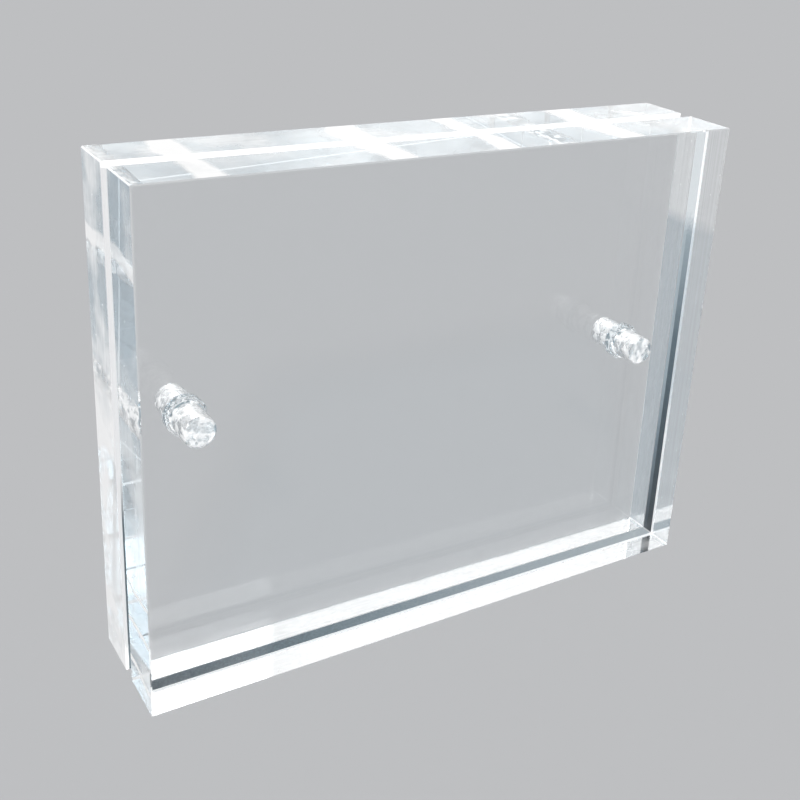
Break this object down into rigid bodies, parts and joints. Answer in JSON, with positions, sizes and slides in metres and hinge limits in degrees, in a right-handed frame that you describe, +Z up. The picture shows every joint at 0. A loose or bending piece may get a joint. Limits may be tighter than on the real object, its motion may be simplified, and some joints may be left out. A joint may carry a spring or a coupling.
{
  "type": "acrylic block frame",
  "caption": "Clear acrylic block photo frame: thick polished blocks face to face, with a narrow gap for a photo, joined by clear double-ended pegs with a spacing collar.",
  "frame": {"origin": "under the middle of the frame, on the surface that it stands on", "axes": "+X to the right seen from the front, +Y to the back, +Z up"},
  "size_m": [0.127, 0.0262, 0.1016],
  "materials": {
    "clear_block": "clear cast acrylic with polished faces and edges",
    "clear_peg": "clear acrylic rod, turned and polished"
  },
  "bodies": {
    "rear_block": {"rear_block": "clear_block"},
    "left_peg": {"left_peg": "clear_peg"},
    "right_peg": {"right_peg": "clear_peg"},
    "front_block": {"front_block": "clear_block"}
  },
  "joints": [
    {"name": "left_peg_slide", "type": "slide", "parent": "rear_block", "child": "left_peg", "axis": [0, -1, 0], "range_m": [0, 0.02]},
    {"name": "right_peg_slide", "type": "slide", "parent": "rear_block", "child": "right_peg", "axis": [0, -1, 0], "range_m": [0, 0.02]},
    {"name": "front_block_slide", "type": "slide", "parent": "left_peg", "child": "front_block", "axis": [0, -1, 0], "range_m": [0, 0.03]}
  ],
  "couplings": [
    {"joint": "right_peg_slide", "follows": "left_peg_slide", "ratio": 1}
  ]
}
